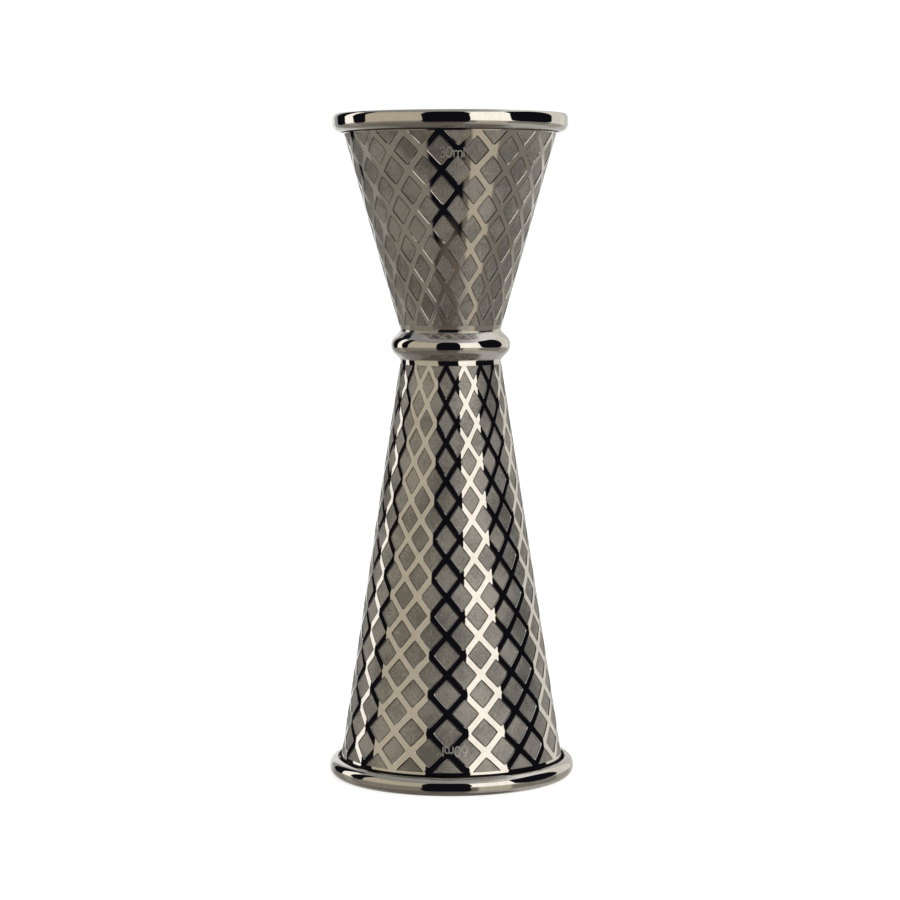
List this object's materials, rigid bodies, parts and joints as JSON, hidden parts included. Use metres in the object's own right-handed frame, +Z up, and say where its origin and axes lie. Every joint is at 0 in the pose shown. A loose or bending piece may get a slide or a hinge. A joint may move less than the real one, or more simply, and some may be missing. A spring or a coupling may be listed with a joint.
{
  "type": "bar jigger",
  "caption": "Double-ended bar measuring jigger with two conical cups, rolled rims, a diamond-etched wall and a turned waist collar.",
  "frame": {"origin": "centre of the large cup's mouth, on the plane that the jigger stands on", "axes": "+Z up the axis, from the large cup's mouth to the small cup's mouth"},
  "size_m": [0.0476, 0.0476, 0.128],
  "materials": {
    "dark_nickel_wall": "mirror-polished dark nickel plate with etched matte diamonds",
    "dark_nickel_floor": "polished dark nickel plate with fine turning marks",
    "silver_solder": "plated over silver solder fillet, soft satin",
    "dark_nickel_collar": "mirror-polished dark nickel plate, turned"
  },
  "bodies": {
    "root": {"large_cup_wall": "dark_nickel_wall", "small_cup_wall": "dark_nickel_wall", "large_cup_floor": "dark_nickel_floor", "small_cup_floor": "dark_nickel_floor", "large_floor_solder": "silver_solder", "small_floor_solder": "silver_solder", "waist_collar": "dark_nickel_collar"}
  },
  "joints": []
}
